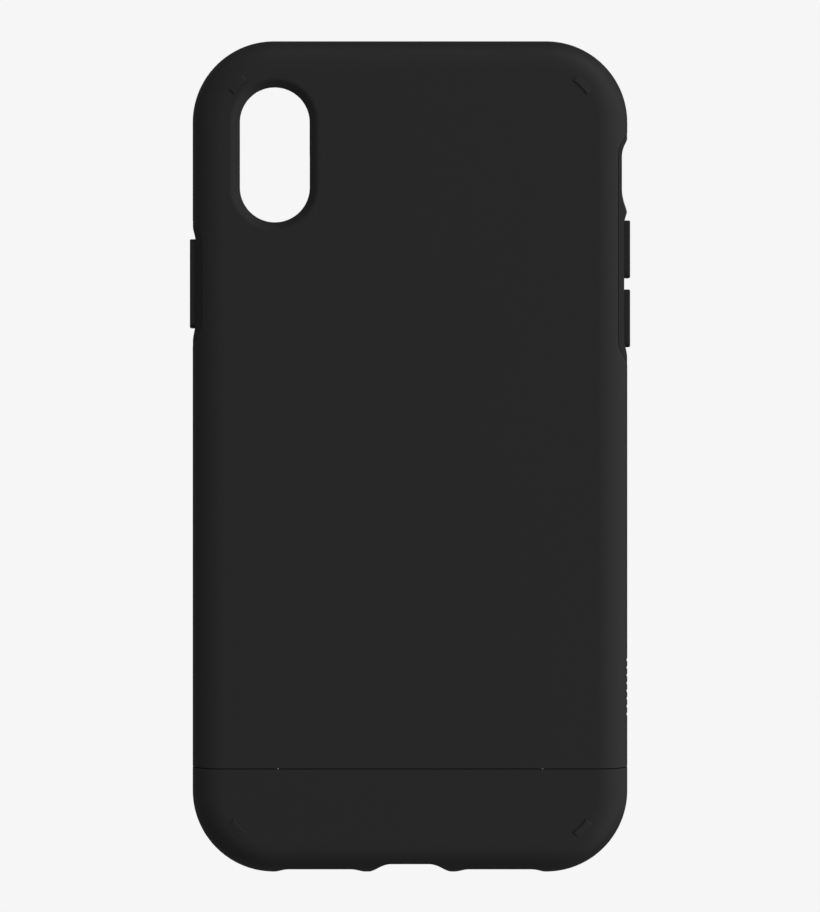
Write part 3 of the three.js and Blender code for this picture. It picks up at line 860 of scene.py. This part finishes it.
def tongue():
    """A thin plate with round corners, thinned to a lead-in along its upper edge and ribbed where
    it slides."""
    half_x, half_z = TONGUE["half"]
    near, far = BACK + SHELL + TONGUE_SLIP, POCKET_FLOOR - TONGUE_SET
    top = TONGUE["z"] + half_z

    def skins(q):
        x, z = q[..., 0], q[..., 1]
        lead = smooth_step((z - (top - LEAD["length"])) / LEAD["length"]) * LEAD["thinning"]
        from_rib = np.abs((np.abs(x) + RIBS["pitch"] / 2) % RIBS["pitch"] - RIBS["pitch"] / 2)
        rib = RIBS["depth"] * smooth_step(1 - from_rib / RIBS["half"])
        ribbed = (z > SEAM_Z + RIBS["above_seam"]) & (z < top - RIBS["below_top"])
        groove = np.where(ribbed, rib, 0)
        return np.stack([x, far - lead - groove, z], -1), np.stack([x, near + lead * 0.5, z], -1)

    region = lambda q: round_box(q[..., 0], q[..., 1] - TONGUE["z"], half_x, half_z, TONGUE["corner"])
    xs = graded((-half_x, 0.25), (half_x, 1))
    zs = graded((TONGUE["z"] - half_z, 0.6), (SEAM_Z, 0.35), (top, 1))
    return wall(xs, zs, region, skins, TONGUE_FILLET)


ARM_THINNING = 0.5  # of an arm's upper end
ARM_CORNER = 0.5
ARM_FILLET = 0.15


def latch_arm(side):
    """A flat strip up the side wall with a ramped bump on its outer face and a thinned end."""
    near = POCKET_HALF[0] + ARM["near"]
    middle = (ARM["low"] + ARM["high"]) / 2
    half_z = (ARM["high"] - ARM["low"]) / 2

    def skins(q):
        y, z = q[..., 0], q[..., 1]
        ramp = np.minimum(z - BUMP["low"], BUMP["high"] - z) / BUMP["ramp"]
        bump = BUMP["rise"] * smooth_min(np.maximum(ramp, 0), 1.0, BUMP["ease"])
        end = ARM_THINNING * np.maximum(z - BUMP["high"], 0) / (ARM["high"] - BUMP["high"])
        place = lambda x: np.stack([side * x, y, z], -1)
        return place(near + ARM["thick"] + bump - end), place(np.full_like(y, near))

    region = lambda q: round_box(q[..., 0] - PHONE_Y, q[..., 1] - middle, ARM["half"], half_z,
                                 ARM_CORNER)
    ys = graded((PHONE_Y - ARM["half"], 0.16), (PHONE_Y + ARM["half"], 1))
    zs = graded((ARM["low"], 0.4), (BUMP["low"] - 0.2, 0.12), (ARM["high"], 1))
    return wall(ys, zs, region, skins, ARM_FILLET)


# ---- finishes ----

MOTTLE_SIZE = 14  # of the broad noise, in millimetres
RUBBED_TONE, RUBBED_ROUGHNESS = 1.04, -0.03  # factor and change on a rubbed edge


def moulded(name, shade, rough, grain, grain_size, specular, mottle, speck):
    """A moulded near-black finish. Fine noise is its grain and specks its tone, a broad noise
    shades it a little and varies its gloss, and the rubbed edges are lighter and smoother. The
    grain's depth and size are in millimetres, and mottle and speck are shares of the tone."""
    material = bpy.data.materials.new(name)
    material.use_nodes = True
    nodes, links = material.node_tree.nodes, material.node_tree.links
    shader = nodes["Principled BSDF"]
    shader.inputs["Specular IOR Level"].default_value = specular
    place = nodes.new("ShaderNodeTexCoord").outputs["Object"]
    rub = nodes.new("ShaderNodeAttribute")
    rub.attribute_name = "rub"

    def noise(size, detail):
        node = nodes.new("ShaderNodeTexNoise")
        node.inputs["Scale"].default_value = 1 / (size * MM)
        node.inputs["Detail"].default_value = detail
        links.new(place, node.inputs["Vector"])
        return node.outputs["Fac"]

    def spread(value, low, high, start=0.3, end=0.7):
        node = nodes.new("ShaderNodeMapRange")
        for socket, number in zip(("From Min", "From Max", "To Min", "To Max"), (start, end, low, high)):
            node.inputs[socket].default_value = number
        links.new(value, node.inputs["Value"])
        return node.outputs["Result"]

    def combine(a, b, operation="ADD"):
        node = nodes.new("ShaderNodeMath")
        node.operation = operation
        links.new(a, node.inputs[0])
        links.new(b, node.inputs[1])
        return node.outputs[0]

    fine, broad = noise(grain_size, 3), noise(MOTTLE_SIZE, 4)
    tone = combine(spread(broad, 1 - mottle, 1 + mottle), spread(fine, 1 - speck, 1 + speck), "MULTIPLY")
    tone = combine(tone, spread(rub.outputs["Fac"], 1.0, RUBBED_TONE, 0, 1), "MULTIPLY")
    colour = nodes.new("ShaderNodeVectorMath")
    colour.operation = "SCALE"
    colour.inputs[0].default_value = (shade, shade, shade)
    links.new(tone, colour.inputs["Scale"])
    links.new(colour.outputs["Vector"], shader.inputs["Base Color"])
    gloss = combine(spread(broad, rough - mottle / 4, rough + mottle / 4),
                  spread(fine, -speck / 4, speck / 4))
    gloss = combine(gloss, spread(rub.outputs["Fac"], 0, RUBBED_ROUGHNESS, 0, 1))
    links.new(gloss, shader.inputs["Roughness"])
    bump = nodes.new("ShaderNodeBump")
    bump.inputs["Strength"].default_value = 1
    bump.inputs["Distance"].default_value = grain * MM
    links.new(fine, bump.inputs["Height"])
    links.new(bump.outputs["Normal"], shader.inputs["Normal"])
    return material


hard_satin = moulded("hard_satin", shade=0.0140, rough=0.50, grain=0.001, grain_size=0.16,
                     specular=0.32, mottle=0.015, speck=0.03)
cap_satin = moulded("cap_satin", shade=0.0138, rough=0.52, grain=0.003, grain_size=0.30,
                    specular=0.32, mottle=0.02, speck=0.10)
pad_satin = moulded("pad_satin", shade=0.0150, rough=0.52, grain=0.003, grain_size=0.20,
                    specular=0.32, mottle=0.02, speck=0.05)
soft_matt = moulded("soft_matt", shade=0.0130, rough=0.66, grain=0.008, grain_size=0.22,
                    specular=0.28, mottle=0.04, speck=0.06)
button_matt = moulded("button_matt", shade=0.0130, rough=0.60, grain=0.005, grain_size=0.18,
                      specular=0.30, mottle=0.04, speck=0.06)
latch_nylon = moulded("latch_nylon", shade=0.0170, rough=0.50, grain=0.005, grain_size=0.50,
                      specular=0.35, mottle=0.05, speck=0.08)

# ---- the pieces ----

add_piece("case_upper_shell", upper_shell(), "upper_case", "upper_shell", hard_satin)
add_piece("case_bottom_shell", bottom_shell(), "bottom_cap", "bottom_shell", cap_satin)
add_piece("case_upper_liner", upper_liner(), "upper_case", "upper_liner", soft_matt)
add_piece("case_bottom_liner", bottom_liner(), "bottom_cap", "bottom_liner", soft_matt)

left_holes = [BUTTONS["power_button"]]
right_holes = [BUTTONS["volume_up_button"], BUTTONS["volume_down_button"]]
add_piece("case_left_strip", inlay(WINDOWS["left"], [POWER_RECESS], left_holes), "upper_case",
          "left_side_inlay", soft_matt)
add_piece("case_right_strip", inlay(WINDOWS["right"], [VOLUME_RECESS, MUTE_SCOOP], right_holes),
          "upper_case", "right_side_inlay", soft_matt)

for node, spec in BUTTONS.items():
    add_piece("case_" + node, button(spec), node.replace("_button", "_cap"), node,
              button_matt)

PADS = {
    "upper_left_pad": ("upper_case", -1, 1),
    "upper_right_pad": ("upper_case", 1, 1),
    "lower_left_pad": ("bottom_cap", -1, -1),
    "lower_right_pad": ("bottom_cap", 1, -1),
}
for node, (body, side_x, side_z) in PADS.items():
    add_piece("case_" + node, corner_pad(side_x, side_z), body, node, pad_satin)

add_piece("case_back_tongue", tongue(), "bottom_cap", "back_tongue", latch_nylon)
add_piece("case_left_arm", latch_arm(-1), "bottom_cap", "left_latch_arm", latch_nylon)
add_piece("case_right_arm", latch_arm(1), "bottom_cap", "right_latch_arm", latch_nylon)

# ---- camera, floor, world and lights ----

scene = bpy.context.scene
scene.view_settings.view_transform = "Standard"

CAMERA_DISTANCE = 0.590  # from the back of the case, in metres
CAMERA_HEIGHT = 0.07618
LENS = 128.2
camera = bpy.data.objects.new("camera", bpy.data.cameras.new("camera"))
camera.data.lens = LENS
camera.location = (0, BACK * MM - CAMERA_DISTANCE, CAMERA_HEIGHT)
camera.rotation_euler = (math.radians(90), 0, 0)
scene.collection.objects.link(camera)
scene.camera = camera

PALE = (0.9216, 0.9216, 0.9216, 1)
FLOOR_HALF = 3.0  # half of the floor's side, in metres
FLOOR_DROP = 0.0002  # from the case's lowest point down to the floor


def backdrop(light):
    """A world that is pale to look at and gives a dimmer, even light."""
    world = bpy.data.worlds.new("studio")
    world.use_nodes = True
    scene.world = world
    nodes, links = world.node_tree.nodes, world.node_tree.links
    path, mix = nodes.new("ShaderNodeLightPath"), nodes.new("ShaderNodeMixShader")
    unseen, seen = nodes.new("ShaderNodeBackground"), nodes["Background"]
    for node, strength in ((unseen, light), (seen, 1)):
        node.inputs["Color"].default_value = PALE
        node.inputs["Strength"].default_value = strength
    links.new(path.outputs["Is Camera Ray"], mix.inputs[0])
    links.new(unseen.outputs[0], mix.inputs[1])
    links.new(seen.outputs[0], mix.inputs[2])
    links.new(mix.outputs[0], nodes["World Output"].inputs["Surface"])


def floor():
    """A wide plain floor, as pale as the backdrop. Light passes it, so that the case is lit from
    below as well."""
    material = bpy.data.materials.new("floor_pale")
    material.use_nodes = True
    nodes, links = material.node_tree.nodes, material.node_tree.links
    nodes.remove(nodes["Principled BSDF"])
    glow = nodes.new("ShaderNodeEmission")
    glow.inputs["Color"].default_value = PALE
    links.new(glow.outputs[0], nodes["Material Output"].inputs["Surface"])
    mesh = bpy.data.meshes.new("floor")
    corners = FLOOR_HALF * np.array([[-1, -1, 0], [1, -1, 0], [1, 1, 0], [-1, 1, 0]])
    mesh.from_pydata(corners.tolist(), [], [(0, 1, 2, 3)])
    mesh.materials.append(material)
    plane = bpy.data.objects.new("floor", mesh)
    plane.location.z = cad_box[0][2] - FLOOR_DROP
    plane.visible_shadow = plane.visible_diffuse = plane.visible_glossy = False
    scene.collection.objects.link(plane)


SOFTNESS = 50  # degrees of the sky that each light fills


def soft_light(name, azimuth, elevation, power):
    """A broad, distant soft light. Azimuth 0 is behind the camera, and it grows to the right."""
    data = bpy.data.lights.new(name, "SUN")
    data.angle = math.radians(SOFTNESS)
    data.energy = power
    light = bpy.data.objects.new(name, data)
    light.rotation_euler = (math.radians(90 - elevation), 0, math.radians(azimuth))
    scene.collection.objects.link(light)


POCKET_LIGHT = {"size": (0.06, 0.12), "power": 0.45, "away": 0.28}  # in metres and watts


def pocket_light():
    """A panel in front of the pocket, narrower than the case, so that only the pocket and its
    rim catch its light."""
    data = bpy.data.lights.new("pocket_soft", "AREA")
    data.shape = "RECTANGLE"
    data.size, data.size_y = POCKET_LIGHT["size"]
    data.energy = POCKET_LIGHT["power"]
    light = bpy.data.objects.new("pocket_soft", data)
    light.location = (0, POCKET_LIGHT["away"], MID_Z * MM)
    light.rotation_euler = (math.radians(90), 0, math.radians(180))
    light.visible_camera = False
    scene.collection.objects.link(light)


backdrop(0.127)
floor()
soft_light("left_soft", -70, 0, 0.08)
soft_light("high_left_soft", -70, 35, 0.06)
soft_light("near_left_soft", -35, 0, 0.155)
soft_light("low_soft", 0, -35, 0.21)
soft_light("front_soft", 0, 0, 0.075)
soft_light("high_soft", 0, 35, 0.24)
soft_light("near_right_soft", 35, 0, 0.35)
soft_light("low_right_soft", 70, -35, 0.45)
soft_light("right_soft", 70, 0, 0.19)
soft_light("high_right_soft", 70, 35, 0.44)
soft_light("edge_soft", 105, 0, 0.285)
soft_light("high_edge_soft", 105, 35, 0.11)
soft_light("top_right_soft", 60, 65, 0.33)
soft_light("top_left_soft", -60, 65, 0.16)
pocket_light()
